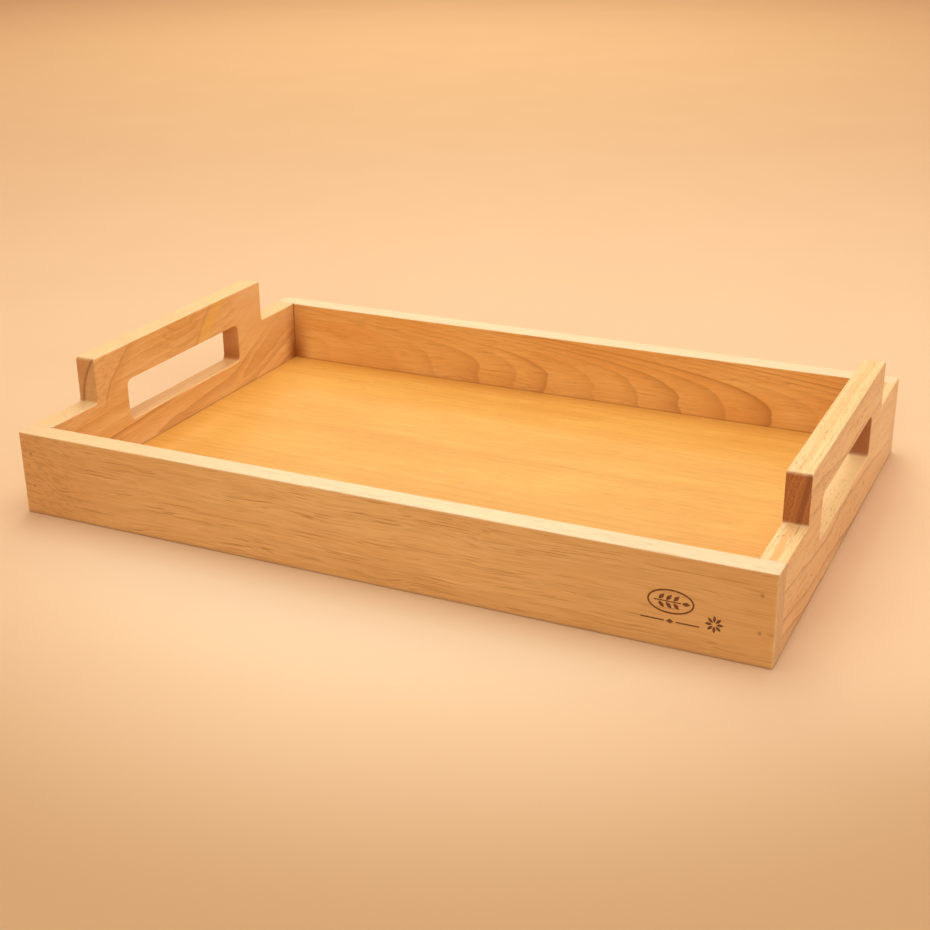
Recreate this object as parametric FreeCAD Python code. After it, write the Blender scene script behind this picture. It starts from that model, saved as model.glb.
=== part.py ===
import FreeCAD, Part
import os

# Wooden serving tray, all sizes in millimetres.
#
# Two rails run the full length, at the front and at the back. Two end boards stand between
# them and rise in the middle into handles with a hand slot. A thin plywood bottom lies in
# grooves cut in all four boards. Each corner is glued and held by two brads, driven through
# the rail into the end grain of the end board, sunk, and covered with wood filler.
#
# Frame: +X along the length, +Y to the back, +Z up. The origin is the centre of the underside.

# Outside of the tray
tray_length = 450.0
tray_width = 300.0
rim_height = 51.0

# Boards
rail_thickness = 13.6
end_board_thickness = 13.6
edge_radius = 0.8  # easing of every outer edge
corner_radius = 1.0  # easing of the frame's upright corners

# Handles, one on each end board
handle_length = 186.0
handle_rise = 28.5  # above the rim
handle_corner_radius = 2.4
handle_root_radius = 1.8
grip_height = 23.5  # wood above the hand slot
hand_slot_length = 125.0
hand_slot_height = 26.5
hand_slot_corner_radius = 4.0
hand_slot_edge_radius = 1.1

# Bottom panel, a three-ply sheet held in grooves
panel_underside = 6.0  # above the table
face_veneer_thickness = 0.6
core_thickness = 2.6
back_veneer_thickness = 0.6
groove_depth = 5.0
panel_side_gap = 0.4  # room for the wood to move, from the panel's edge to the groove's floor
panel_top_gap = 0.15  # the panel lies on the lower side of its groove

# Brads and the filler over them
brad_length = 30.0
brad_shank_diameter = 1.25
brad_head_diameter = 2.0
brad_head_thickness = 0.6
brad_point_length = 2.0
brad_point_diameter = 0.3
brad_sink = 2.0  # from the rail's face down to the brad's head
filler_diameter = 2.1
brad_side_offset = 0.7  # from the middle of the end board's thickness towards the tray's middle
lowest_brad_height = 18.2
top_brad_below_rim = 12.6

BACK = FreeCAD.Vector(0, 1, 0)
LONG = FreeCAD.Vector(1, 0, 0)

half_length = tray_length / 2
half_width = tray_width / 2
inner_half_length = half_length - end_board_thickness
inner_half_width = half_width - rail_thickness
panel_thickness = face_veneer_thickness + core_thickness + back_veneer_thickness
groove_height = panel_thickness + panel_top_gap


def block(x_range, y_range, z_range):
    """A box between two values along each axis."""
    size = [high - low for low, high in (x_range, y_range, z_range)]
    corner = FreeCAD.Vector(x_range[0], y_range[0], z_range[0])
    return Part.makeBox(*size, corner)


def mirrored(shape, normal):
    """The shape on the other side of the plane through the origin that has this normal."""
    return shape.mirror(FreeCAD.Vector(0, 0, 0), normal)


def edges_where(shape, test):
    """The shape's edges whose every vertex passes the test."""
    return [e for e in shape.Edges if all(test(v.Point) for v in e.Vertexes)]


def near(a, b):
    return abs(a - b) < 1e-6


def rounded_outline(corners, x):
    """A closed wire in the plane at x through (y, z, radius) corners, each rounded by its radius."""
    points = [FreeCAD.Vector(x, y, z) for y, z, _ in corners]
    edges = []
    starts, ends = [], []
    for i, (_, _, radius) in enumerate(corners):
        to_last = (points[i - 1] - points[i]).normalize()
        to_next = (points[(i + 1) % len(points)] - points[i]).normalize()
        starts.append(points[i] + to_last * radius)
        ends.append(points[i] + to_next * radius)
        if radius:
            centre = points[i] + (to_last + to_next) * radius
            middle = centre - (to_last + to_next).normalize() * radius
            edges.append(Part.Arc(starts[i], middle, ends[i]).toShape())
    for i in range(len(points)):
        edges.append(Part.makeLine(ends[i - 1], starts[i]))
    return Part.Wire(Part.__sortEdges__(edges))


def eased_rim():
    """The whole outside of the frame as one ring, with its outer and its inner rim edges eased.

    The rails are cut to it, so that their easing turns the tray's corners as it does when the
    frame is sanded after it is glued.
    """
    outside = block((-half_length, half_length), (-half_width, half_width), (0, rim_height))
    opening = block(
        (-inner_half_length, inner_half_length),
        (-inner_half_width, inner_half_width),
        (-1, rim_height + 1),
    )
    ring = outside.cut(opening)

    def on_corner(p):
        return near(abs(p.x), half_length) and near(abs(p.y), half_width)

    def on_outside(p):
        return near(abs(p.x), half_length) or near(abs(p.y), half_width)

    def on_inner_rim(p):
        return near(abs(p.x), inner_half_length) and near(p.z, rim_height)

    def level(edges):
        return [e for e in edges if near(e.Vertexes[0].Z, e.Vertexes[-1].Z)]

    corners = edges_where(ring, on_corner)
    upright = [e for e in corners if not near(e.Vertexes[0].Z, e.Vertexes[-1].Z)]
    ring = ring.makeFillet(corner_radius, upright)
    eased = level(edges_where(ring, on_outside)) + edges_where(ring, on_inner_rim)
    return ring.makeFillet(edge_radius, eased)


def brad_places():
    """(x, z) of the brads that go through one rail."""
    x = half_length - end_board_thickness / 2 - brad_side_offset
    heights = (lowest_brad_height, rim_height - top_brad_below_rim)
    return [(side * x, z) for side in (-1, 1) for z in heights]


def front_brad(x, z):
    """One brad in the front rail: flat head, round shank and a short tapered point, along +Y."""
    head_y = -half_width + brad_sink
    shank_y = head_y + brad_head_thickness
    point_y = head_y + brad_length - brad_point_length
    head = Part.makeCylinder(
        brad_head_diameter / 2, brad_head_thickness, FreeCAD.Vector(x, head_y, z), BACK
    )
    shank = Part.makeCylinder(
        brad_shank_diameter / 2, point_y - shank_y, FreeCAD.Vector(x, shank_y, z), BACK
    )
    point = Part.makeCone(
        brad_shank_diameter / 2,
        brad_point_diameter / 2,
        brad_point_length,
        FreeCAD.Vector(x, point_y, z),
        BACK,
    )
    return head.fuse([shank, point]).removeSplitter()


def front_filler(x, z):
    """One plug of wood filler, from the rail's face down to the brad's head."""
    start = FreeCAD.Vector(x, -half_width, z)
    return Part.makeCylinder(filler_diameter / 2, brad_sink, start, BACK)


def front_rail(rim, brads, fillers):
    """The front rail with its stopped groove for the bottom and the holes that the brads leave."""
    rail = block((-half_length, half_length), (-half_width, -inner_half_width), (0, rim_height))
    rail = rail.common(rim)
    groove_end_radius = groove_height / 2
    groove_half_length = inner_half_length + groove_depth
    groove_z = (panel_underside, panel_underside + groove_height)
    groove_y = (-inner_half_width - groove_depth, -inner_half_width)
    groove = block((-groove_half_length, groove_half_length), groove_y, groove_z)
    for side in (-1, 1):
        centre = FreeCAD.Vector(
            side * groove_half_length, groove_y[0], panel_underside + groove_end_radius
        )
        end = Part.makeCylinder(groove_end_radius, groove_depth, centre, BACK)
        groove = groove.fuse(end)
    return rail.cut(groove).cut(brads + fillers)


def right_end_board(brads):
    """The right end board, handle and all, cut from one board with its grain along Y."""
    top = rim_height + handle_rise
    half_handle = handle_length / 2
    corners = [
        (-inner_half_width, 0, 0),
        (inner_half_width, 0, 0),
        (inner_half_width, rim_height, 0),
        (half_handle, rim_height, handle_root_radius),
        (half_handle, top, handle_corner_radius),
        (-half_handle, top, handle_corner_radius),
        (-half_handle, rim_height, handle_root_radius),
        (-inner_half_width, rim_height, 0),
    ]
    outline = rounded_outline(corners, inner_half_length)
    board = Part.Face(outline).extrude(LONG * end_board_thickness)

    slot_top = top - grip_height
    slot_bottom = slot_top - hand_slot_height
    half_slot = hand_slot_length / 2
    slot_corners = [
        (side * half_slot, z, hand_slot_corner_radius)
        for side, z in ((-1, slot_bottom), (1, slot_bottom), (1, slot_top), (-1, slot_top))
    ]
    slot_outline = rounded_outline(slot_corners, inner_half_length)
    board = board.cut(Part.Face(slot_outline).extrude(LONG * end_board_thickness))

    def on_a_face(p):
        return near(p.x, inner_half_length) or near(p.x, half_length)

    def in_slot(p):
        return on_a_face(p) and abs(p.y) <= half_slot and slot_bottom <= p.z <= slot_top

    def on_rim(p):
        return on_a_face(p) and p.z >= rim_height

    def along_board(edges):
        return [e for e in edges if near(e.Vertexes[0].X, e.Vertexes[-1].X)]

    def on_outer_foot(p):
        return near(p.x, half_length) and near(p.z, 0)

    slot_edges = along_board(edges_where(board, in_slot))
    board = board.makeFillet(hand_slot_edge_radius, slot_edges)
    rim_edges = along_board(edges_where(board, on_rim))
    board = board.makeFillet(edge_radius, rim_edges + edges_where(board, on_outer_foot))

    groove = block(
        (inner_half_length, inner_half_length + groove_depth),
        (-inner_half_width, inner_half_width),
        (panel_underside, panel_underside + groove_height),
    )
    return board.cut(groove).cut(brads)


def panel_ply(bottom, thickness):
    """One ply of the bottom panel, reaching into the grooves on all four sides."""
    reach = groove_depth - panel_side_gap
    half_x = inner_half_length + reach
    half_y = inner_half_width + reach
    return block((-half_x, half_x), (-half_y, half_y), (bottom, bottom + thickness))


rim = eased_rim()
front_brads = [front_brad(x, z) for x, z in brad_places()]
front_fillers = [front_filler(x, z) for x, z in brad_places()]
back_brads = [mirrored(brad, BACK) for brad in front_brads]
back_fillers = [mirrored(filler, BACK) for filler in front_fillers]

front = front_rail(rim, front_brads, front_fillers)
right = right_end_board(front_brads + back_brads)
core_bottom = panel_underside + back_veneer_thickness

nodes = {
    "front_rail": front,
    "back_rail": mirrored(front, BACK),
    "right_end_board": right,
    "left_end_board": mirrored(right, LONG),
    "bottom_back_veneer": panel_ply(panel_underside, back_veneer_thickness),
    "bottom_core": panel_ply(core_bottom, core_thickness),
    "bottom_face_veneer": panel_ply(core_bottom + core_thickness, face_veneer_thickness),
    "front_brads": Part.makeCompound(front_brads),
    "back_brads": Part.makeCompound(back_brads),
    "front_brad_fillers": Part.makeCompound(front_fillers),
    "back_brad_fillers": Part.makeCompound(back_fillers),
}

os.makedirs("parts", exist_ok=True)
for name, shape in nodes.items():
    shape.exportStep(f"parts/{name}.step")
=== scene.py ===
import math

import bpy
from mathutils import Matrix, Vector


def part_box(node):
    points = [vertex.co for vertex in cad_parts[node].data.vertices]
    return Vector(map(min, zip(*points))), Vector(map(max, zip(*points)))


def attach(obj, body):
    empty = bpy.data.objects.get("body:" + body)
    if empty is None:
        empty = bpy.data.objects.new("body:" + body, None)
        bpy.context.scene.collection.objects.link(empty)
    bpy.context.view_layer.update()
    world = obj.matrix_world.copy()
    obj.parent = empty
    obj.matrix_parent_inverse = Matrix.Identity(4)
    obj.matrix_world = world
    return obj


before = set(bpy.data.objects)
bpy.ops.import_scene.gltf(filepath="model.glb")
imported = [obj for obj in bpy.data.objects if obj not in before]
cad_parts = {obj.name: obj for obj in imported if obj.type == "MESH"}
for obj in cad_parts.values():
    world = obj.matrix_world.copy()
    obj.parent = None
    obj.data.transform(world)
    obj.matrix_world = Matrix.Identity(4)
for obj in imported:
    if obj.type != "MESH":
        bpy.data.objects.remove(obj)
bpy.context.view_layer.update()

# ---------------------------------------------------------------------------------------
# Camera.
# A long lens looks down on the tray from in front of its right end.
# ---------------------------------------------------------------------------------------
camera_place = Vector((0.3620, -0.7800, 0.3731))
camera_pan = math.radians(-25.37)  # from straight back, towards the tray's left
camera_tilt = math.radians(22.79)  # down from level
camera_roll = math.radians(-0.61)
camera_sensor = 36.0  # mm
camera_lens = 58.51  # mm
camera_shift = -0.00215  # of the frame's width, upwards

ahead = Vector((
    math.sin(camera_pan) * math.cos(camera_tilt),
    math.cos(camera_pan) * math.cos(camera_tilt),
    -math.sin(camera_tilt),
))
level_right = Vector((math.cos(camera_pan), -math.sin(camera_pan), 0))
level_up = level_right.cross(ahead)
camera_right = level_right * math.cos(camera_roll) + level_up * math.sin(camera_roll)
camera_up = level_up * math.cos(camera_roll) - level_right * math.sin(camera_roll)

camera = bpy.data.objects.new("camera", bpy.data.cameras.new("camera"))
bpy.context.scene.collection.objects.link(camera)
camera.data.sensor_width = camera_sensor
camera.data.lens = camera_lens
camera.data.shift_y = camera_shift
camera_turn = Matrix((camera_right, camera_up, -ahead)).transposed()
camera.matrix_world = Matrix.Translation(camera_place) @ camera_turn.to_4x4()
bpy.context.scene.camera = camera
bpy.context.scene.view_settings.view_transform = "Standard"

# ---------------------------------------------------------------------------------------
# Studio light.
# A large soft box hangs over the tray, weaker ones stand in front and to the right, one lights
# the paper behind, and the walls of the room give back a warm even light.
# ---------------------------------------------------------------------------------------


def soft_lamp(name, place, aim, size, watts, colour):
    """A square soft box at a place, in metres, that faces the point aimed at."""
    light = bpy.data.lights.new(name, "AREA")
    light.shape = "SQUARE"
    light.size = size
    light.energy = watts
    light.color = colour
    lamp = bpy.data.objects.new(name, light)
    bpy.context.scene.collection.objects.link(lamp)
    lamp.location = place
    lamp.rotation_euler = (Vector(aim) - Vector(place)).to_track_quat("-Z", "Y").to_euler()


tray_middle = (0, 0, 0)
paper_behind = (-0.9, 1.9, 0)
wall_glow = (1.0, 0.5, 0.28, 1)
wall_strength = 0.48

soft_lamp("lamp_over", (-0.05, 0.15, 1.15), tray_middle, 1.0, 9.0, (0.90, 1.0, 0.92))
soft_lamp("lamp_front", (0.3, -1.6, 0.9), tray_middle, 0.9, 10.2, (0.86, 1.0, 0.85))
soft_lamp("lamp_right", (1.6, 0.2, 1.0), tray_middle, 0.9, 5.6, (0.84, 0.95, 1.0))
soft_lamp("lamp_behind", (-0.9, 1.9, 1.5), paper_behind, 1.6, 19.5, (1.0, 0.99, 0.69))

studio = bpy.data.worlds.new("studio")
studio.use_nodes = True
walls = studio.node_tree.nodes["Background"]
walls.inputs["Color"].default_value = wall_glow
walls.inputs["Strength"].default_value = wall_strength
bpy.context.scene.world = studio

# ---------------------------------------------------------------------------------------
# Paper sweep.
# The tray stands on plain pale peach paper, flat for metres around it and then bent up on
# every side, so that no edge of it shows.
# ---------------------------------------------------------------------------------------


def feed(tree, socket, value):
    """Links an output to this input, or sets the input to a plain value."""
    if isinstance(value, bpy.types.NodeSocket):
        tree.links.new(value, socket)
    else:
        socket.default_value = value


def add(tree, kind, inputs=None, **settings):
    """A new node with these settings, its inputs given by name or number."""
    node = tree.nodes.new(kind)
    for name, value in settings.items():
        setattr(node, name, value)
    for name, value in (inputs or {}).items():
        feed(tree, node.inputs[name], value)
    return node


def tinted(tree, amount, under, over):
    """The colour under, covered by the colour over as far as amount says."""
    node = add(tree, "ShaderNodeMix", data_type="RGBA")
    for socket, value in zip((0, 6, 7), (amount, under, over)):
        feed(tree, node.inputs[socket], value)
    return node.outputs[2]


def stretched(tree, place, scale):
    """A place with its axes scaled, for a pattern that is longer one way than the other."""
    inputs = {0: place, 1: scale}
    return add(tree, "ShaderNodeVectorMath", inputs, operation="MULTIPLY").outputs[0]


def cloud(tree, place, detail=2.0, roughness=0.5):
    """Smooth random value about 0.5, one cell to a unit of place."""
    inputs = {"Vector": place, "Scale": 1.0, "Detail": detail, "Roughness": roughness}
    return add(tree, "ShaderNodeTexNoise", inputs).outputs[0]


def maths(tree, operation, *values):
    """One sum on numbers."""
    return add(tree, "ShaderNodeMath", dict(enumerate(values)), operation=operation).outputs[0]


def product(tree, *values):
    """All the values multiplied."""
    answer = values[0]
    for value in values[1:]:
        answer = maths(tree, "MULTIPLY", answer, value)
    return answer


def ramp(tree, value, start, end, low=0.0, high=1.0):
    """low where value is at start or before, high at end or after, and a smooth step between."""
    inputs = {"Value": value, "From Min": start, "From Max": end, "To Min": low, "To Max": high}
    return add(tree, "ShaderNodeMapRange", inputs, interpolation_type="SMOOTHSTEP").outputs[0]


def new_material(name):
    """A material with a Principled shader: the material, its node tree and the shader."""
    material = bpy.data.materials.new(name)
    material.use_nodes = True
    return material, material.node_tree, material.node_tree.nodes["Principled BSDF"]


sweep_flat_radius = 4.0
sweep_bend_radius = 1.5
sweep_bend_steps = 12
sweep_sides = 96
sweep_gap = 0.0001  # under the tray, so that its lower edges stay clear of the paper
paper_pale = (0.85, 0.62, 0.42, 1)
paper_deep = (0.81, 0.58, 0.385, 1)
# The next two colours are painted light and painted shade on the paper in front of the tray.
paper_painted_light = (0.86, 0.69, 0.50, 1)  # close in front of the tray
paper_painted_shade = (0.58, 0.37, 0.205, 1)  # further out in front

sweep_corners = [(0, 0, -sweep_gap)]
for step in range(sweep_bend_steps + 1):
    bend = math.radians(90 * step / sweep_bend_steps)
    radius = sweep_flat_radius + sweep_bend_radius * math.sin(bend)
    height = sweep_bend_radius * (1 - math.cos(bend))
    for side in range(sweep_sides):
        angle = math.tau * side / sweep_sides
        sweep_corners.append((radius * math.cos(angle), radius * math.sin(angle), height - sweep_gap))
sweep_faces = []
for side in range(sweep_sides):
    beside = (side + 1) % sweep_sides
    sweep_faces.append((0, 1 + side, 1 + beside))
    for ring in range(sweep_bend_steps):
        low = 1 + ring * sweep_sides
        high = low + sweep_sides
        sweep_faces.append((low + side, high + side, high + beside, low + beside))
sweep_mesh = bpy.data.meshes.new("paper_sweep")
sweep_mesh.from_pydata(sweep_corners, [], sweep_faces)
sweep_mesh.polygons.foreach_set("use_smooth", [True] * len(sweep_mesh.polygons))
sweep = bpy.data.objects.new("paper_sweep", sweep_mesh)
bpy.context.scene.collection.objects.link(sweep)

paper, tree, shader = new_material("peach_paper")
place = add(tree, "ShaderNodeTexCoord").outputs["Object"]
paper_mottle = cloud(tree, stretched(tree, place, (7, 7, 7)), 4.0)
paper_colour = tinted(tree, paper_mottle, paper_deep, paper_pale)
# Painted light and shade: in front of the tray the paper is painted a little whiter close by, as a pool of
# light, and browner further out, as light falling off.
_, depth_wise, _ = add(tree, "ShaderNodeSeparateXYZ", {0: place}).outputs
in_front = ramp(tree, depth_wise, -0.08, -0.23)
from_tray = add(tree, "ShaderNodeVectorMath", {0: place}, operation="LENGTH").outputs["Value"]
painted_light_close_by = product(tree, in_front, ramp(tree, from_tray, 0.19, 0.29, 1.0, 0.0))
paper_colour = tinted(tree, painted_light_close_by, paper_colour, paper_painted_light)
painted_shade_further_out = product(tree, in_front, ramp(tree, from_tray, 0.24, 0.43))
feed(tree, shader.inputs["Base Color"], tinted(tree, painted_shade_further_out, paper_colour, paper_painted_shade))
shader.inputs["Roughness"].default_value = 0.85
shader.inputs["Specular IOR Level"].default_value = 0.25
sweep_mesh.materials.append(paper)

# ---------------------------------------------------------------------------------------
# End boards.
# Each is one board of pale open-pored hardwood, its grain along the tray's width, with the
# handle and the hand slot cut from it. The edges are eased and the whole is lacquered.
# ---------------------------------------------------------------------------------------


def total(tree, *values):
    """All the values added up."""
    answer = values[0]
    for value in values[1:]:
        answer = maths(tree, "ADD", answer, value)
    return answer


def new_group(name, inputs, outputs):
    """A node group, the outputs of its input node and the inputs of its output node.

    An input is a name and a default: one number, three for a place or four for a colour.
    """
    group = bpy.data.node_groups.new(name, "ShaderNodeTree")
    kinds = {3: "NodeSocketVector", 4: "NodeSocketColor"}
    for label, default in inputs.items():
        kind = "NodeSocketFloat" if isinstance(default, float) else kinds[len(default)]
        socket = group.interface.new_socket(label, in_out="INPUT", socket_type=kind)
        socket.default_value = default
    for label, kind in outputs.items():
        group.interface.new_socket(label, in_out="OUTPUT", socket_type=kind)
    given = group.nodes.new("NodeGroupInput").outputs
    result = group.nodes.new("NodeGroupOutput").inputs
    return group, given, result


def place_group(tree, group, inputs):
    """The outputs of a group placed in a tree."""
    node = add(tree, "ShaderNodeGroup", node_tree=group)
    for label, value in inputs.items():
        feed(tree, node.inputs[label], value)
    return node.outputs


# Growth rings, in millimetres with X along the grain. Each ring is a sheet that runs out of
# the board's faces: Taper tilts it along the board, and Bow curls it about Bow height, which
# may climb along the board. The rings are fainter before Calm end and over Faint above.
growth_rings, given, result = new_group(
    "growth_rings",
    {
        "Place": (0.0, 0.0, 0.0),
        "Taper": 0.02,
        "Bow": 1.0,
        "Bow power": 2.0,
        "Bow height": 0.0,
        "Climb start": 0.0,
        "Climb end": 100.0,
        "Climb": 0.0,
        "Ring width": 3.0,
        "Start": 0.0,
        "Calm end": -999.0,
        "Calm": 0.3,
        "Faint above": 999.0,
        "Softness": 2.6,
        "Uneven": 1.6,
        "Sway": 1.0,
        "Ripple": 1.0,
        "Seed": (0.0, 0.0, 0.0),
    },
    {"Late wood": "NodeSocketFloat", "Ring tone": "NodeSocketFloat", "Bent": "NodeSocketVector"},
)
tree = growth_rings
seeded = add(tree, "ShaderNodeVectorMath", {0: given["Place"], 1: given["Seed"]}).outputs[0]
along, across, above = add(tree, "ShaderNodeSeparateXYZ", {0: given["Place"]}).outputs
sway = maths(tree, "SUBTRACT", cloud(tree, stretched(tree, seeded, (1 / 130, 1 / 60, 1 / 34)), 1.0), 0.5)
ripple = maths(tree, "SUBTRACT", cloud(tree, stretched(tree, seeded, (1 / 34, 1 / 9, 1 / 8)), 2.0), 0.5)
climb = ramp(tree, along, given["Climb start"], given["Climb end"], 0.0, given["Climb"])
height = maths(tree, "SUBTRACT", above, total(tree, given["Bow height"], climb))
height = maths(tree, "ABSOLUTE", height)
height = maths(tree, "POWER", maths(tree, "DIVIDE", height, 20.0), given["Bow power"])
depth = total(
    tree,
    across,
    given["Start"],
    product(tree, along, given["Taper"]),
    product(tree, height, given["Bow"]),
    product(tree, sway, given["Sway"], 6.0),
    product(tree, ripple, given["Ripple"], 2.0),
)
rings = maths(tree, "DIVIDE", depth, given["Ring width"])
uneven = add(tree, "ShaderNodeTexNoise", {"W": product(tree, rings, 0.6), "Scale": 1.0},
             noise_dimensions="1D").outputs[0]
rings = total(tree, rings, product(tree, uneven, given["Uneven"]))
phase = maths(tree, "FRACT", rings)
own = add(tree, "ShaderNodeTexWhiteNoise", {"W": maths(tree, "FLOOR", rings)},
          noise_dimensions="1D").outputs[0]
late_wood = product(
    tree,
    maths(tree, "POWER", phase, given["Softness"]),
    ramp(tree, phase, 0.93, 1.0, 1.0, 0.0),
    ramp(tree, own, 0.0, 1.0, 0.25, 1.3),
    ramp(tree, along, given["Calm end"], total(tree, given["Calm end"], 60), given["Calm"], 1.0),
    ramp(tree, above, given["Faint above"], total(tree, given["Faint above"], 18), 1.0, 0.25),
)
tree.links.new(late_wood, result["Late wood"])
tree.links.new(cloud(tree, add(tree, "ShaderNodeCombineXYZ", {0: product(tree, rings, 0.45)}).outputs[0],
                     1.0), result["Ring tone"])
wave = maths(tree, "SUBTRACT", cloud(tree, stretched(tree, seeded, (1 / 55, 1 / 30, 1 / 22)), 1.0), 0.5)
bend = add(tree, "ShaderNodeCombineXYZ", {
    1: product(tree, wave, 4.0), 2: product(tree, wave, 8.0)}).outputs[0]
tree.links.new(add(tree, "ShaderNodeVectorMath", {0: seeded, 1: bend}).outputs[0], result["Bent"])

# Solid wood cut along and across its fibres, from its growth rings outwards: broad tone,
# fibre streaks, hair lines and pores where long vessels are cut open, and dots on end grain.
sawn_wood, given, result = new_group(
    "sawn_wood",
    {
        "Bent": (0.0, 0.0, 0.0),
        "Late wood": 0.0,
        "Ring tone": 0.5,
        "End grain": 0.0,
        "Sanding and sheen": 0.0,
        "Ring strength": 0.5,
        "Tone strength": 0.6,
        "Streak strength": 0.5,
        "Hair strength": 0.5,
        "Hair length": 17.0,
        "Pore strength": 0.3,
        "Pore length": 7.0,
        "End figure": 0.6,
        "Pale": (0.75, 0.46, 0.2, 1.0),
        "Deep": (0.65, 0.36, 0.13, 1.0),
        "Ring tint": (0.45, 0.19, 0.05, 1.0),
        "Pore tint": (0.34, 0.15, 0.05, 1.0),
        "End tint": (0.38, 0.16, 0.05, 1.0),
        "Sanding and sheen tint": (0.87, 0.65, 0.36, 1.0),
    },
    {"Colour": "NodeSocketColor", "Roughness": "NodeSocketFloat", "Height": "NodeSocketFloat"},
)
tree = sawn_wood
bent = given["Bent"]
blotch = ramp(tree, cloud(tree, stretched(tree, bent, (1 / 85, 1 / 24, 1 / 16)), 2.0), 0.34, 0.66)
ring_tone = ramp(tree, given["Ring tone"], 0.35, 0.65)
tone = total(tree, product(tree, blotch, 0.55), product(tree, ring_tone, 0.45))
fibre = ramp(tree, cloud(tree, stretched(tree, bent, (1 / 34, 1.0, 1.0)), 3.0, 0.6), 0.38, 0.64)
hair_place = add(tree, "ShaderNodeVectorMath", {
    0: bent,
    1: add(tree, "ShaderNodeCombineXYZ", {0: given["Hair length"], 1: 0.59, 2: 0.59}).outputs[0],
}, operation="DIVIDE").outputs[0]
hair = ramp(tree, cloud(tree, hair_place, 1.0), 0.55, 0.7)
hair_zone = ramp(tree, cloud(tree, stretched(tree, bent, (1 / 50, 1 / 6, 1 / 6))), 0.35, 0.6, 0.3, 1.0)
hair = product(tree, hair, hair_zone, ramp(tree, given["Sanding and sheen"], 0.0, 1.0, 1.0, 0.4))
pore_place = add(tree, "ShaderNodeVectorMath", {
    0: bent,
    1: add(tree, "ShaderNodeCombineXYZ", {0: given["Pore length"], 1: 0.55, 2: 0.55}).outputs[0],
}, operation="DIVIDE").outputs[0]
pore = ramp(tree, cloud(tree, pore_place, 0.0), 0.61, 0.73)
pore_zone = ramp(tree, cloud(tree, stretched(tree, bent, (1 / 55, 1 / 4, 1 / 4))), 0.4, 0.6)
pore = product(tree, pore, pore_zone)
colour = tinted(tree, product(tree, tone, given["Tone strength"]), given["Pale"], given["Deep"])
colour = tinted(tree, product(tree, fibre, given["Streak strength"]), colour, given["Deep"])
figure = product(tree, given["Late wood"], given["Ring strength"])
colour = tinted(tree, figure, colour, given["Ring tint"])
end_figure = product(tree, given["Late wood"], given["End figure"])
end_colour = tinted(tree, end_figure, given["End tint"], given["Pore tint"])
end_colour = tinted(tree, product(tree, fibre, 0.3), end_colour, given["Ring tint"])
colour = tinted(tree, given["End grain"], colour, end_colour)
# Painted sheen and light: where the surface faces up, the pale tint is partly sanding and partly a painted
# sheen on the tops and painted light on the slot's floor.
colour = tinted(tree, given["Sanding and sheen"], colour, given["Sanding and sheen tint"])
colour = tinted(tree, product(tree, hair, given["Hair strength"]), colour, given["Ring tint"])
colour = tinted(tree, product(tree, pore, given["Pore strength"]), colour, given["Pore tint"])
tree.links.new(colour, result["Colour"])
cut_open = maths(tree, "MAXIMUM", product(tree, hair, 0.5), pore)
tree.links.new(total(tree, 0.38, product(tree, fibre, 0.07), product(tree, cut_open, 0.2),
                     product(tree, given["End grain"], 0.14)), result["Roughness"])
tree.links.new(total(tree, product(tree, fibre, 0.15), product(tree, cut_open, -0.8)),
               result["Height"])

# The rubbed edges of a box: 1 on them, fading out a little way in, wider here than there.
rubbed_edges, given, result = new_group(
    "rubbed_edges",
    {"Place": (0.0, 0.0, 0.0), "Middle": (0.0, 0.0, 0.0), "Half size": (1.0, 1.0, 1.0),
     "Width": 1.0},
    {"Rubbed": "NodeSocketFloat"},
)
tree = rubbed_edges
inside = add(tree, "ShaderNodeVectorMath", {0: given["Place"], 1: given["Middle"]},
             operation="SUBTRACT").outputs[0]
inside = add(tree, "ShaderNodeVectorMath", {0: inside}, operation="ABSOLUTE").outputs[0]
inside = add(tree, "ShaderNodeVectorMath", {0: given["Half size"], 1: inside},
             operation="SUBTRACT").outputs[0]
depth_x, depth_y, depth_z = add(tree, "ShaderNodeSeparateXYZ", {0: inside}).outputs
least = maths(tree, "MINIMUM", maths(tree, "MINIMUM", depth_x, depth_y), depth_z)
most = maths(tree, "MAXIMUM", maths(tree, "MAXIMUM", depth_x, depth_y), depth_z)
second = maths(tree, "SUBTRACT", total(tree, depth_x, depth_y, depth_z), total(tree, least, most))
uneven_width = product(tree, given["Width"], total(
    tree, 0.5, cloud(tree, stretched(tree, given["Place"], (0.12, 0.12, 0.12)), 3.0)))
tree.links.new(ramp(tree, second, 0.0, uneven_width, 1.0, 0.0), result["Rubbed"])

# The thin dark line of glue where a rail and an end board meet, on both boards of the joint.
glue_lines, given, result = new_group(
    "glue_lines",
    {"Place": (0.0, 0.0, 0.0), "Joint": (0.0, 0.0, 0.0), "Width": 0.2},
    {"Line": "NodeSocketFloat"},
)
tree = glue_lines
from_middle = add(tree, "ShaderNodeVectorMath", {0: given["Place"]}, operation="ABSOLUTE").outputs[0]
past_joint = add(tree, "ShaderNodeVectorMath", {0: from_middle, 1: given["Joint"]},
                 operation="SUBTRACT").outputs[0]
past_x, past_y, _ = add(tree, "ShaderNodeSeparateXYZ", {0: past_joint}).outputs
at_joint = ramp(tree, maths(tree, "ABSOLUTE", past_y), 0.0, given["Width"], 1.0, 0.0)
broken = ramp(tree, cloud(tree, stretched(tree, given["Place"], (0.3, 0.3, 0.3)), 2.0), 0.3, 0.6, 0.5, 1.0)
tree.links.new(product(tree, at_joint, broken, ramp(tree, past_x, -0.3, 0.0)), result["Line"])
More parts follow.
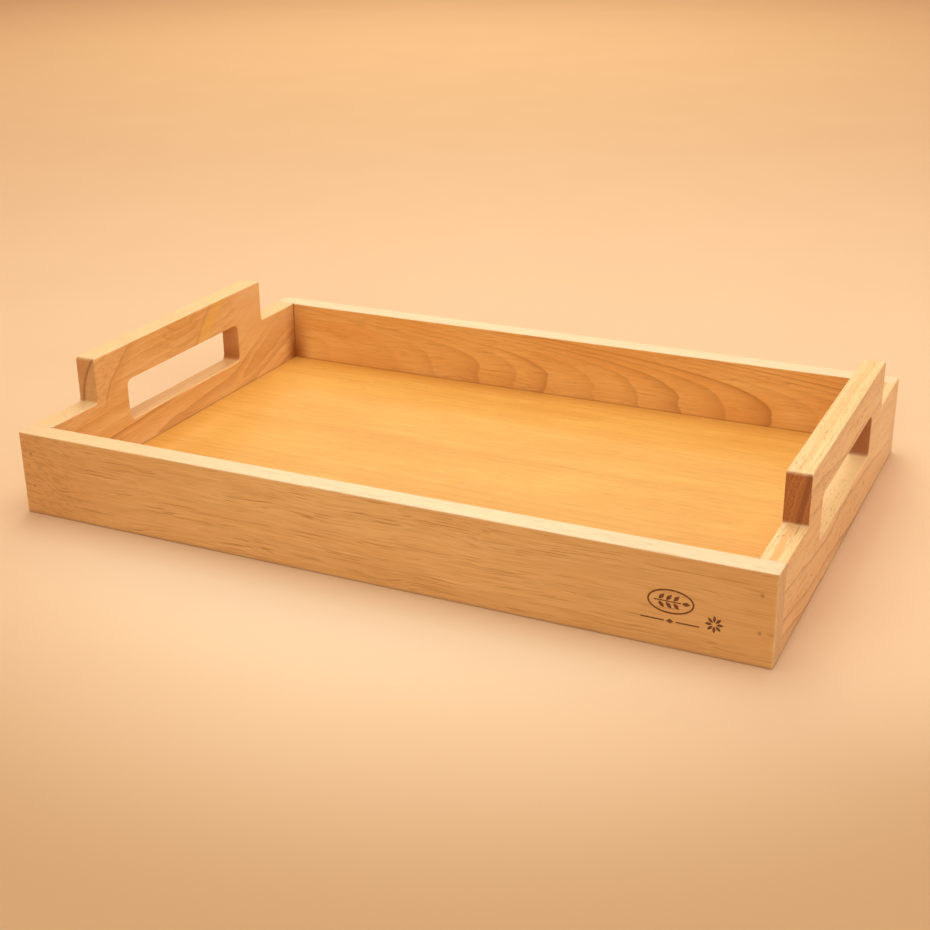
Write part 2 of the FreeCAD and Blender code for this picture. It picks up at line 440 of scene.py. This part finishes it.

# Painted shade: the inside corners, their creases and the seam with the bottom are painted darker, where
# shade falls.
inside_corner_shade, given, result = new_group(
    "inside_corner_shade",
    {"Place": (0.0, 0.0, 0.0), "Corner": (0.0, 0.0, 0.0)},
    {"Corner": "NodeSocketFloat", "Seam": "NodeSocketFloat"},
)
tree = inside_corner_shade
from_middle = add(tree, "ShaderNodeVectorMath", {0: given["Place"]}, operation="ABSOLUTE").outputs[0]
short_of = add(tree, "ShaderNodeVectorMath", {0: given["Corner"], 1: from_middle},
               operation="SUBTRACT").outputs[0]
short_x, short_y, short_z = add(tree, "ShaderNodeSeparateXYZ", {0: short_of}).outputs
indoors = product(tree, ramp(tree, short_x, -1.0, -0.3), ramp(tree, short_y, -1.0, -0.3))
in_corner = product(tree, ramp(tree, short_x, 0.0, 16.0, 1.0, 0.0), ramp(tree, short_y, 0.0, 16.0, 1.0, 0.0))
in_corner = product(tree, in_corner, ramp(tree, short_z, -40.0, 0.0, 0.25, 1.0))
in_crease = product(tree, ramp(tree, short_x, 0.0, 1.2, 1.0, 0.0), ramp(tree, short_y, 0.0, 1.2, 1.0, 0.0))
tree.links.new(product(tree, indoors, maths(tree, "MAXIMUM", in_corner, in_crease)), result["Corner"])
tree.links.new(product(tree, indoors, ramp(tree, short_z, -1.4, -0.2)), result["Seam"])

millimetres = 1000.0
grain_across_tray = math.radians(-90)  # turns a board's grain from the tray's width onto X
rubbed_pale = (0.90, 0.68, 0.40, 1)
glue_brown = (0.30, 0.13, 0.045, 1)
# Painted shade colour for the boards' lower edges.
bottom_shade_brown = (0.34, 0.15, 0.05, 1)
# Painted shade colour for the inside corners and the seam with the bottom.
corner_shade_brown = (0.36, 0.10, 0.010, 1)
left_board_low, left_board_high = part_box("left_end_board")
rail_low, rail_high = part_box("front_rail")
_, bottom_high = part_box("bottom_face_veneer")
joint_corner = Vector((-left_board_high.x, -rail_high.y, bottom_high.z)) * millimetres
right_board_low, right_board_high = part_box("right_end_board")
right_board_middle = (right_board_low.x + right_board_high.x) / 2 * millimetres
rim_top = rail_high.z * millimetres
handle_top = left_board_high.z * millimetres


def raise_grain(tree, shader, height, strength, distance):
    """Bumps on a surface, as high as distance in metres where height is 1."""
    inputs = {"Strength": strength, "Distance": distance, "Height": height}
    feed(tree, shader.inputs["Normal"], add(tree, "ShaderNodeBump", inputs).outputs[0])


def wood_material(name, node, grain_turn, rings, wood, sanding_and_sheen, slot_sanding_and_light=0.0, marks=None):
    """Lacquered solid wood for one board.

    grain_turn brings the grain onto X. rings and wood hold the values of the growth_rings and
    sawn_wood groups. The next two arguments say how pale the up-facing tops and the slot's floor
    are: partly sanding, and partly a painted sheen on the tops and painted light on the slot's floor.
    marks(tree, place, up, end_grain, colour) adds whatever that board alone has.
    """
    material, tree, shader = new_material(name)
    low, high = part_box(node)
    own_place = add(tree, "ShaderNodeTexCoord").outputs["Object"]
    own_place = add(tree, "ShaderNodeMapping", {
        "Vector": own_place, "Scale": (millimetres,) * 3}).outputs[0]
    turn = {"Rotation": (0, 0, grain_turn)}
    place = add(tree, "ShaderNodeMapping", {"Vector": own_place, **turn}).outputs[0]
    normal = add(tree, "ShaderNodeNewGeometry").outputs["Normal"]
    facing = add(tree, "ShaderNodeMapping", {"Vector": normal, **turn}).outputs[0]
    facing_end, _, facing_up = add(tree, "ShaderNodeSeparateXYZ", {0: facing}).outputs
    height = add(tree, "ShaderNodeSeparateXYZ", {0: own_place}).outputs[2]
    up = ramp(tree, facing_up, 0.2, 0.9)
    end_grain = ramp(tree, maths(tree, "ABSOLUTE", facing_end), 0.35, 0.9)
    ring = place_group(tree, growth_rings, {"Place": place, **rings})
    cut = place_group(tree, sawn_wood, {
        "Bent": ring["Bent"],
        "Late wood": ring["Late wood"],
        "Ring tone": ring["Ring tone"],
        "End grain": end_grain,
        # Painted sheen on the up-facing tops and painted light on the slot's floor, partly sanding.
        "Sanding and sheen": product(tree, up, ramp(tree, height, 28, 50, slot_sanding_and_light, sanding_and_sheen)),
        **wood,
    })
    colour = cut["Colour"]
    if marks:
        colour = marks(tree, own_place, up, end_grain, colour)
    rubbed = place_group(tree, rubbed_edges, {
        "Place": own_place,
        "Middle": (low + high) / 2 * millimetres,
        "Half size": (high - low) / 2 * millimetres,
        "Width": 1.6,
    })["Rubbed"]
    colour = tinted(tree, product(tree, rubbed, 0.3), colour, rubbed_pale)
    # Painted shade: darker along the bottom 2.2 mm of each board, for the shadow at its eased lower edge.
    bottom_painted_shade = ramp(tree, height, 0.0, 2.2, 0.45, 0.0)
    colour = tinted(tree, bottom_painted_shade, colour, bottom_shade_brown)
    glue = place_group(tree, glue_lines, {"Place": own_place, "Joint": joint_corner, "Width": 0.3})
    colour = tinted(tree, product(tree, glue["Line"], 0.45), colour, glue_brown)
    # Painted shade in the inside corners and along the seam with the bottom.
    corner = place_group(tree, inside_corner_shade, {"Place": own_place, "Corner": joint_corner})
    colour = tinted(tree, product(tree, corner["Corner"], 0.95), colour, corner_shade_brown)
    colour = tinted(tree, product(tree, corner["Seam"], 0.35), colour, corner_shade_brown)
    feed(tree, shader.inputs["Base Color"], colour)
    feed(tree, shader.inputs["Roughness"], cut["Roughness"])
    raise_grain(tree, shader, cut["Height"], 0.35, 0.0002)
    shader.inputs["Coat Weight"].default_value = 0.15
    shader.inputs["Coat Roughness"].default_value = 0.3
    return material


def finish_node(name, material):
    """Gives a CAD node one material, in the place of its plain one."""
    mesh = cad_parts[name].data
    mesh.materials.clear()
    mesh.materials.append(material)


def cut_faces(tree, along_board, height, up, end_grain):
    """Masks of the hand slot's floor, of the slot's two ends and of the handle's near end."""
    slot_floor = product(tree, ramp(tree, height, 40, 34), up)
    slot_ends = product(tree, ramp(tree, maths(tree, "ABSOLUTE", along_board), 75, 70), end_grain)
    handle_end = product(tree, ramp(tree, along_board, -90, -92), end_grain)
    return slot_floor, slot_ends, handle_end


def left_board_marks(tree, place, up, end_grain, colour):
    """Curly figure in the handle: a pale near end, loops of rings and a golden streak."""
    thickness_wise, end_wise, height_wise = add(tree, "ShaderNodeSeparateXYZ", {0: place}).outputs
    slot_floor, slot_ends, handle_end = cut_faces(tree, end_wise, height_wise, up, end_grain)
    wander = maths(tree, "SUBTRACT", cloud(tree, stretched(tree, place, (0.05, 0.07, 0.07)), 2.0), 0.5)
    width_wise = total(tree, end_wise, product(tree, wander, 9.0))
    on_handle = product(tree, ramp(tree, height_wise, 44, 54), ramp(tree, up, 0.0, 1.0, 1.0, 0.3))
    # The near end of the handle, past a dark line that leans from its top to its foot.
    lean = maths(tree, "SUBTRACT", height_wise, rim_top + 1)
    past_line = total(tree, width_wise, 84, product(tree, lean, -0.6), product(tree, lean, lean, -0.016))
    near_end = product(tree, ramp(tree, past_line, 0.5, -0.5), on_handle)
    dark_line = product(tree, ramp(tree, maths(tree, "ABSOLUTE", past_line), 0.2, 1.5, 1.0, 0.0), on_handle)
    shade = product(tree, ramp(tree, past_line, 0.0, 0.5), ramp(tree, past_line, 1, 16, 1.0, 0.0), on_handle)
    hatch = ramp(tree, cloud(tree, stretched(tree, place, (0.3, 0.25, 0.9)), 3.0), 0.42, 0.62)
    colour = tinted(tree, product(tree, near_end, 0.5), colour, (0.92, 0.60, 0.28, 1))
    colour = tinted(tree, product(tree, near_end, hatch, 0.35), colour, (0.58, 0.29, 0.10, 1))
    colour = tinted(tree, product(tree, shade, 0.5), colour, (0.74, 0.38, 0.11, 1))
    colour = tinted(tree, product(tree, dark_line, 0.5), colour, (0.50, 0.22, 0.06, 1))
    # Rings that hang in loops from the handle's top edge.
    loop_y = maths(tree, "DIVIDE", total(tree, width_wise, 3), 1.6)
    loop_z = maths(tree, "SUBTRACT", height_wise, handle_top + 3.5)
    loop = maths(tree, "SQRT", total(tree, product(tree, loop_y, loop_y), product(tree, loop_z, loop_z)))
    loop = maths(tree, "FRACT", maths(tree, "DIVIDE", total(tree, loop, product(tree, wander, 5.0)), 5.6))
    loop_line = product(tree, maths(tree, "POWER", loop, 2.5), ramp(tree, loop, 0.9, 1.0, 1.0, 0.0))
    in_loop = product(tree, ramp(tree, maths(tree, "ABSOLUTE", loop_y), 8, 15, 1.0, 0.0), on_handle)
    colour = tinted(tree, product(tree, loop_line, in_loop, 0.55), colour, (0.58, 0.27, 0.07, 1))
    # A golden streak that leans across the handle, with a brown edge.
    streak_y = total(tree, width_wise, product(tree, maths(tree, "SUBTRACT", height_wise, 68), -0.9))
    golden = product(tree, ramp(tree, streak_y, 23, 28), ramp(tree, streak_y, 34, 42, 1.0, 0.0), on_handle)
    from_edge = maths(tree, "ABSOLUTE", maths(tree, "SUBTRACT", streak_y, 22))
    brown_edge = product(tree, ramp(tree, from_edge, 0.0, 3.4, 1.0, 0.0), on_handle)
    colour = tinted(tree, product(tree, golden, 0.45), colour, (0.92, 0.60, 0.10, 1))
    colour = tinted(tree, product(tree, brown_edge, 0.4), colour, (0.62, 0.29, 0.07, 1))
    # A dark ring that curves up the handle's near end, the wood outside it redder.
    from_face = maths(tree, "SUBTRACT", thickness_wise, left_board_low.x * millimetres)
    up_handle = maths(tree, "SUBTRACT", height_wise, rim_top)
    arc = maths(tree, "SUBTRACT", from_face, total(tree, 3.4, product(tree, up_handle, up_handle, 0.0117)))
    arc_line = product(tree, ramp(tree, maths(tree, "ABSOLUTE", arc), 0.2, 1.7, 1.0, 0.0), handle_end)
    outside = product(tree, ramp(tree, arc, 0.0, -1.5), handle_end)
    colour = tinted(tree, product(tree, outside, 0.3), colour, (0.55, 0.20, 0.06, 1))
    colour = tinted(tree, product(tree, arc_line, 0.65), colour, (0.30, 0.10, 0.03, 1))
    # Redder wood on the slot's floor, and darker end grain at its ends with painted shade that deepens
    # towards the bottom of the slot.
    colour = tinted(tree, product(tree, slot_floor, 0.3), colour, (0.97, 0.55, 0.20, 1))
    slot_end_grain_and_shade = product(tree, slot_ends, ramp(tree, height_wise, 56, 30, 0.15, 0.6))
    colour = tinted(tree, slot_end_grain_and_shade, colour, (0.40, 0.12, 0.006, 1))
    # Paler wood beyond the slot.
    far_end = product(tree, ramp(tree, width_wise, 56, 68), ramp(tree, height_wise, 28, 50))
    return tinted(tree, product(tree, far_end, 0.5), colour, (0.93, 0.62, 0.29, 1))


def right_board_marks(tree, place, up, end_grain, colour):
    """An orange streak along the middle of the board's top edges, with painted light: lighter towards the
    back and on the slot's floor.
    """
    thickness_wise, width_wise, height_wise = add(tree, "ShaderNodeSeparateXYZ", {0: place}).outputs
    slot_floor, slot_ends, handle_end = cut_faces(tree, width_wise, height_wise, up, end_grain)
    wander = maths(tree, "SUBTRACT", cloud(tree, stretched(tree, place, (0.1, 0.03, 0.1)), 3.0), 0.5)
    from_middle = maths(tree, "SUBTRACT", thickness_wise, right_board_middle - 0.7)
    from_middle = total(tree, from_middle, product(tree, wander, 7.0))
    streak = product(
        tree,
        up,
        ramp(tree, maths(tree, "ABSOLUTE", from_middle), 1.4, 2.8, 1.0, 0.0),
        ramp(tree, height_wise, 44, 50),
        ramp(tree, maths(tree, "ABSOLUTE", width_wise), 92, 134, 0.35, 1.0),
    )
    # A dark streak that leans down the handle's near end.
    up_handle = maths(tree, "SUBTRACT", height_wise, rim_top)
    from_streak = maths(tree, "SUBTRACT", thickness_wise, right_board_middle + 1.3)
    from_streak = maths(tree, "ABSOLUTE", total(tree, from_streak, product(tree, up_handle, -0.16)))
    dark_streak = product(tree, ramp(tree, from_streak, 0.4, 2.4, 1.0, 0.0), handle_end)
    colour = tinted(tree, product(tree, dark_streak, 0.55), colour, (0.20, 0.05, 0.012, 1))
    # Painted light: the slot's floor is painted brighter, as light falling through the slot. Darker end
    # grain at the slot's ends.
    colour = tinted(tree, product(tree, slot_floor, 0.4), colour, (1.0, 0.78, 0.40, 1))
    colour = tinted(tree, product(tree, slot_ends, 0.85), colour, (0.28, 0.048, 0.001, 1))
    # Painted light: the board is painted lighter towards the back, where more light reaches it from the
    # right.
    painted_light_toward_back = ramp(tree, width_wise, 0, 120)
    colour = tinted(tree, product(tree, painted_light_toward_back, 0.35), colour, (0.95, 0.70, 0.39, 1))
    return tinted(tree, product(tree, streak, 0.7), colour, (0.82, 0.34, 0.07, 1))


finish_node("left_end_board", wood_material(
    "left_board_wood", "left_end_board", grain_across_tray,
    {
        "Taper": -0.03, "Bow": 6.0, "Bow power": 1.25, "Bow height": 12.0, "Climb start": 40.0,
        "Climb end": 150.0, "Climb": 34.0, "Faint above": 30.0, "Ring width": 3.1,
        "Softness": 1.2, "Uneven": 1.0, "Sway": 0.9, "Ripple": 0.7, "Seed": (30, 7, 0),
    },
    {
        "Ring strength": 0.85, "Tone strength": 0.9, "Streak strength": 0.5,
        "Hair strength": 0.35, "Pore strength": 0.2, "End figure": 0.9,
        "Pale": (0.97, 0.67, 0.315, 1), "Deep": (0.87, 0.50, 0.168, 1),
        "Ring tint": (0.55, 0.25, 0.07, 1), "End tint": (0.56, 0.24, 0.066, 1),
        "Sanding and sheen tint": (0.90, 0.69, 0.41, 1),
    },
    0.6, 0.42, left_board_marks,
))
finish_node("right_end_board", wood_material(
    "right_board_wood", "right_end_board", grain_across_tray,
    {
        "Taper": 0.02, "Bow": 5.0, "Bow power": 1.0, "Bow height": -20.0, "Ring width": 2.2,
        "Softness": 1.8, "Sway": 1.0, "Ripple": 0.6, "Seed": (130, 71, 12),
    },
    {
        "Ring strength": 0.75, "Tone strength": 0.7, "Streak strength": 0.6,
        "Hair strength": 0.45, "Pore strength": 0.62, "Pore length": 5.0, "End figure": 0.9,
        "Pale": (0.97, 0.70, 0.36, 1), "Deep": (0.90, 0.56, 0.23, 1),
        "Ring tint": (0.60, 0.30, 0.10, 1), "Pore tint": (0.50, 0.20, 0.05, 1),
        "End tint": (0.40, 0.108, 0.017, 1), "Sanding and sheen tint": (0.99, 0.77, 0.42, 1),
    },
    0.45, 1.0, right_board_marks,
))

# ---------------------------------------------------------------------------------------
# Rails.
# The front and the back rail run the tray's full length, over the ends of the end boards,
# with their grain along it. They are glued and pinned to the end boards.
# ---------------------------------------------------------------------------------------


def front_rail_marks(tree, place, up, end_grain, colour):
    """Redder, curlier wood at the rail's left end, yellower on top, and darker to the right."""
    along = add(tree, "ShaderNodeSeparateXYZ", {0: place}).outputs[0]
    upright = ramp(tree, up, 0.0, 1.0, 1.0, 0.2)
    redder = product(tree, ramp(tree, along, -140, -235), upright)
    leaning = add(tree, "ShaderNodeMapping", {
        "Vector": place, "Rotation": (0, math.radians(-20), 0)}).outputs[0]
    curl = ramp(tree, cloud(tree, stretched(tree, leaning, (0.16, 0.3, 0.7)), 3.0), 0.45, 0.65)
    yellower = product(tree, ramp(tree, along, -60, -170), up)
    darker = product(tree, ramp(tree, along, 20, 200), upright)
    colour = tinted(tree, product(tree, redder, 0.4), colour, (0.66, 0.31, 0.09, 1))
    colour = tinted(tree, product(tree, redder, curl, 0.5), colour, (0.45, 0.19, 0.06, 1))
    colour = tinted(tree, product(tree, yellower, 0.45), colour, (0.93, 0.60, 0.28, 1))
    return tinted(tree, product(tree, darker, 0.35), colour, (0.60, 0.31, 0.10, 1))


finish_node("front_rail", wood_material(
    "front_rail_wood", "front_rail", 0.0,
    {
        "Taper": 0.008, "Bow": 7.0, "Bow power": 1.0, "Bow height": -30.0, "Ring width": 3.6,
        "Sway": 0.8, "Ripple": 0.5, "Seed": (11, 40, 3),
    },
    {
        "Ring strength": 0.2, "Tone strength": 0.65, "Streak strength": 0.6,
        "Hair strength": 0.85, "Hair length": 38.0, "Pore strength": 0.25, "Pore length": 18.0,
        "End figure": 0.2,
        "Pale": (0.85, 0.52, 0.215, 1), "Deep": (0.73, 0.38, 0.125, 1),
        "Ring tint": (0.50, 0.22, 0.06, 1), "End tint": (0.97, 0.73, 0.41, 1),
        "Sanding and sheen tint": (0.93, 0.795, 0.57, 1),
    },
    0.75, 0.0, front_rail_marks,
))
finish_node("back_rail", wood_material(
    "back_rail_wood", "back_rail", 0.0,
    {
        "Taper": 0.1, "Bow": 1.2, "Bow power": 3.7, "Bow height": 9.8, "Ring width": 3.0,
        "Start": 0.9, "Uneven": 0.5, "Calm end": -80.0, "Calm": 0.4, "Sway": 0.5,
        "Ripple": 0.35, "Seed": (5, 80, 33),
    },
    {
        "Ring strength": 0.95, "Tone strength": 0.9, "Streak strength": 0.6,
        "Hair strength": 0.45, "Hair length": 26.0, "Pore strength": 0.2, "End figure": 0.2,
        "Pale": (0.91, 0.58, 0.215, 1), "Deep": (0.80, 0.40, 0.11, 1),
        "Ring tint": (0.54, 0.23, 0.055, 1), "End tint": (0.97, 0.73, 0.41, 1),
        "Sanding and sheen tint": (0.93, 0.795, 0.57, 1),
    },
    0.8,
))

# ---------------------------------------------------------------------------------------
# Bottom.
# A thin sheet of plywood slid into grooves in the boards: a golden face veneer, a core with
# its grain the other way, and a plain back veneer.
# ---------------------------------------------------------------------------------------


def veneer_material(name, grain_turn, rings, wood):
    """Thin lacquered wood with no edges of its own to rub."""
    material, tree, shader = new_material(name)
    place = add(tree, "ShaderNodeTexCoord").outputs["Object"]
    place = add(tree, "ShaderNodeMapping", {
        "Vector": place, "Rotation": (0, 0, grain_turn), "Scale": (millimetres,) * 3}).outputs[0]
    ring = place_group(tree, growth_rings, {"Place": place, **rings})
    cut = place_group(tree, sawn_wood, {
        "Bent": ring["Bent"],
        "Late wood": ring["Late wood"],
        "Ring tone": ring["Ring tone"],
        **wood,
    })
    feed(tree, shader.inputs["Base Color"], cut["Colour"])
    feed(tree, shader.inputs["Roughness"], cut["Roughness"])
    raise_grain(tree, shader, cut["Height"], 0.25, 0.0001)
    shader.inputs["Coat Weight"].default_value = 0.1
    shader.inputs["Coat Roughness"].default_value = 0.3
    return material


finish_node("bottom_face_veneer", veneer_material(
    "golden_veneer", 0.0,
    {
        "Taper": 0.012, "Bow": 0.0, "Ring width": 7.0, "Sway": 2.6, "Ripple": 0.6,
        "Seed": (60, 20, 0),
    },
    {
        "Ring strength": 0.35, "Tone strength": 0.9, "Streak strength": 0.7,
        "Hair strength": 0.35, "Pore strength": 0.15, "Pore length": 14.0,
        "Pale": (0.88, 0.505, 0.12, 1), "Deep": (0.77, 0.375, 0.07, 1),
        "Ring tint": (0.60, 0.26, 0.045, 1),
    },
))
finish_node("bottom_core", veneer_material(
    "plywood_core", grain_across_tray,
    {"Taper": 0.02, "Bow": 0.0, "Ring width": 5.0, "Sway": 2.0, "Seed": (0, 90, 0)},
    {
        "Ring strength": 0.3, "Hair strength": 0.3, "Pore strength": 0.2,
        "Pale": (0.66, 0.44, 0.22, 1), "Deep": (0.55, 0.33, 0.14, 1),
        "Ring tint": (0.36, 0.18, 0.07, 1),
    },
))
finish_node("bottom_back_veneer", veneer_material(
    "plain_veneer", 0.0,
    {"Taper": 0.02, "Bow": 0.0, "Ring width": 6.0, "Sway": 3.0, "Seed": (140, 60, 9)},
    {
        "Ring strength": 0.25, "Hair strength": 0.3, "Pore strength": 0.2,
        "Pale": (0.80, 0.56, 0.29, 1), "Deep": (0.70, 0.44, 0.19, 1),
        "Ring tint": (0.48, 0.26, 0.10, 1),
    },
))

# ---------------------------------------------------------------------------------------
# Brads and their fillers.
# Thin steel pins, driven through the rails into the end boards and punched under the face.
# Each hole is stopped with brown wood filler, sanded flush.
# ---------------------------------------------------------------------------------------


def place_in_millimetres(tree):
    """The surface's own place on the tray, in millimetres."""
    return stretched(tree, add(tree, "ShaderNodeTexCoord").outputs["Object"], (millimetres,) * 3)


steel, tree, shader = new_material("brad_wire")
place = place_in_millimetres(tree)
drawn = cloud(tree, stretched(tree, place, (6, 0.2, 6)), 3.0)
rust = ramp(tree, cloud(tree, stretched(tree, place, (0.7, 0.3, 0.7)), 4.0), 0.55, 0.7)
bright_steel = tinted(tree, drawn, (0.42, 0.41, 0.40, 1), (0.62, 0.61, 0.60, 1))
feed(tree, shader.inputs["Base Color"], tinted(tree, rust, bright_steel, (0.22, 0.10, 0.05, 1)))
feed(tree, shader.inputs["Metallic"], ramp(tree, rust, 0.0, 1.0, 1.0, 0.3))
feed(tree, shader.inputs["Roughness"], total(
    tree, 0.3, product(tree, drawn, 0.2), product(tree, rust, 0.35)))
for name in ("front_brads", "back_brads"):
    finish_node(name, steel)

filler, tree, shader = new_material("brown_filler")
place = place_in_millimetres(tree)
grit = cloud(tree, stretched(tree, place, (2.5, 2.5, 2.5)), 3.0)
filler_colour = tinted(tree, grit, (0.36, 0.17, 0.06, 1), (0.62, 0.36, 0.16, 1))
feed(tree, shader.inputs["Base Color"], filler_colour)
feed(tree, shader.inputs["Roughness"], total(tree, 0.45, product(tree, grit, 0.25)))
raise_grain(tree, shader, grit, 0.3, 0.0001)
for name in ("front_brad_fillers", "back_brad_fillers"):
    finish_node(name, filler)

# ---------------------------------------------------------------------------------------
# Burnt mark.
# Plain ornaments burnt into the front rail near its right end with a hot iron: an oval ring
# round a sprig, a rule with a lozenge under it, and a small rosette. It has no lettering.
# ---------------------------------------------------------------------------------------
mark_depth = 0.2  # mm, from the scorched face to the bottom of the burn
mark_stands_out = 0.03  # mm, the lip that the iron raises
mark_middle_x = 173.0  # mm, as all the mark's sizes
oval_middle_z = 25.7
oval_half_width = 12.0
oval_half_height = 6.7
oval_line = 0.95
sprig_stem = 0.7
sprig_from = -8.6  # from the mark's middle
sprig_to = 5.2
sprig_leaf_roots = (-6.2, -2.4, 1.4)
sprig_leaf_lean = math.radians(48)
sprig_leaf = (4.3, 2.1)  # length and width
rule_z = 15.0
rule_half_length = 15.0
rule_line = 0.75
lozenge_half = (2.0, 1.35)
rosette_middle = (195.2, 18.0)
rosette_petal = (3.8, 1.6)  # length and width
rosette_petals = 8
rosette_eye = 0.95  # from its middle to the petals' roots
mark_brown = (0.115, 0.035, 0.012, 1)
mark_scorch = (0.26, 0.095, 0.03, 1)

mark_corners = []
mark_faces = []
mark_face_y = rail_low.y * millimetres - mark_stands_out


def burn(outline):
    """A closed flat block with this outline of (x, z) corners, sunk into the rail's face."""
    first = len(mark_corners)
    count = len(outline)
    for y in (mark_face_y, mark_face_y + mark_depth):
        mark_corners.extend((x / millimetres, y / millimetres, z / millimetres) for x, z in outline)
    front = [first + step for step in range(count)]
    back = [corner + count for corner in front]
    mark_faces.append(tuple(front))
    mark_faces.append(tuple(reversed(back)))
    for step in range(count):
        beside = (step + 1) % count
        mark_faces.append((front[beside], front[step], back[step], back[beside]))


def burn_bar(low_x, high_x, middle_z, line):
    """A level bar between two places along the rail, as high as line."""
    low_z = middle_z - line / 2
    high_z = middle_z + line / 2
    burn([(low_x, low_z), (high_x, low_z), (high_x, high_z), (low_x, high_z)])


def burn_ring(middle, half_width, half_height, line, steps=72):
    """A closed flat oval ring, sunk into the rail's face."""
    first = len(mark_corners)
    for y in (mark_face_y, mark_face_y + mark_depth):
        for inset in (0, line):
            for step in range(steps):
                angle = math.tau * step / steps
                x = middle[0] + (half_width - inset) * math.cos(angle)
                z = middle[1] + (half_height - inset) * math.sin(angle)
                mark_corners.append((x / millimetres, y / millimetres, z / millimetres))
    for step in range(steps):
        beside = (step + 1) % steps
        outer, inner, deep_outer, deep_inner = (first + ring * steps for ring in range(4))
        mark_faces.append((outer + step, outer + beside, inner + beside, inner + step))
        mark_faces.append((deep_outer + beside, deep_outer + step, deep_inner + step,
                           deep_inner + beside))
        mark_faces.append((outer + beside, outer + step, deep_outer + step, deep_outer + beside))
        mark_faces.append((inner + step, inner + beside, deep_inner + beside, deep_inner + step))


def leaf_outline(root, angle, length, width, steps=8):
    """A pointed leaf that grows from its root at an angle, as (x, z) corners."""
    shape = []
    for step in range(steps + 1):
        shape.append((length * step / steps, -width / 2 * math.sin(math.pi * step / steps)))
    for step in range(steps - 1, 0, -1):
        shape.append((length * step / steps, width / 2 * math.sin(math.pi * step / steps)))
    return [
        (
            root[0] + x * math.cos(angle) - z * math.sin(angle),
            root[1] + x * math.sin(angle) + z * math.cos(angle),
        )
        for x, z in shape
    ]


burn_ring((mark_middle_x, oval_middle_z), oval_half_width, oval_half_height, oval_line)
burn_bar(mark_middle_x + sprig_from, mark_middle_x + sprig_to, oval_middle_z, sprig_stem)
burn(leaf_outline((mark_middle_x + sprig_to + 0.4, oval_middle_z), 0.0, *sprig_leaf))
for offset in sprig_leaf_roots:
    for side in (1, -1):
        root = (mark_middle_x + offset, oval_middle_z + side * (sprig_stem / 2 + 0.15))
        burn(leaf_outline(root, side * sprig_leaf_lean, *sprig_leaf))
rule_inner = lozenge_half[0] + 1.0
burn_bar(mark_middle_x - rule_half_length, mark_middle_x - rule_inner, rule_z, rule_line)
burn_bar(mark_middle_x + rule_inner, mark_middle_x + rule_half_length, rule_z, rule_line)
burn([
    (mark_middle_x + lozenge_half[0], rule_z),
    (mark_middle_x, rule_z + lozenge_half[1]),
    (mark_middle_x - lozenge_half[0], rule_z),
    (mark_middle_x, rule_z - lozenge_half[1]),
])
for petal in range(rosette_petals):
    angle = math.tau * petal / rosette_petals
    root = (
        rosette_middle[0] + rosette_eye * math.cos(angle),
        rosette_middle[1] + rosette_eye * math.sin(angle),
    )
    burn(leaf_outline(root, angle, *rosette_petal))

mark_mesh = bpy.data.meshes.new("burnt_mark")
mark_mesh.from_pydata(mark_corners, [], mark_faces)
mark_mesh.update()
mark = bpy.data.objects.new("burnt_mark", mark_mesh)
bpy.context.scene.collection.objects.link(mark)
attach(mark, "root")

scorched, tree, shader = new_material("scorched_wood")
place = place_in_millimetres(tree)
soot = cloud(tree, stretched(tree, place, (0.5, 1.2, 1.2)), 4.0, 0.6)
grain = ramp(tree, cloud(tree, stretched(tree, place, (0.12, 2.4, 2.4)), 2.0), 0.42, 0.62)
burnt_colour = tinted(tree, ramp(tree, soot, 0.35, 0.65), mark_brown, mark_scorch)
burnt_colour = tinted(tree, product(tree, grain, 0.3), burnt_colour, mark_brown)
feed(tree, shader.inputs["Base Color"], burnt_colour)
feed(tree, shader.inputs["Roughness"], total(tree, 0.6, product(tree, soot, 0.3)))
raise_grain(tree, shader, grain, 0.4, 0.0001)
mark_mesh.materials.append(scorched)
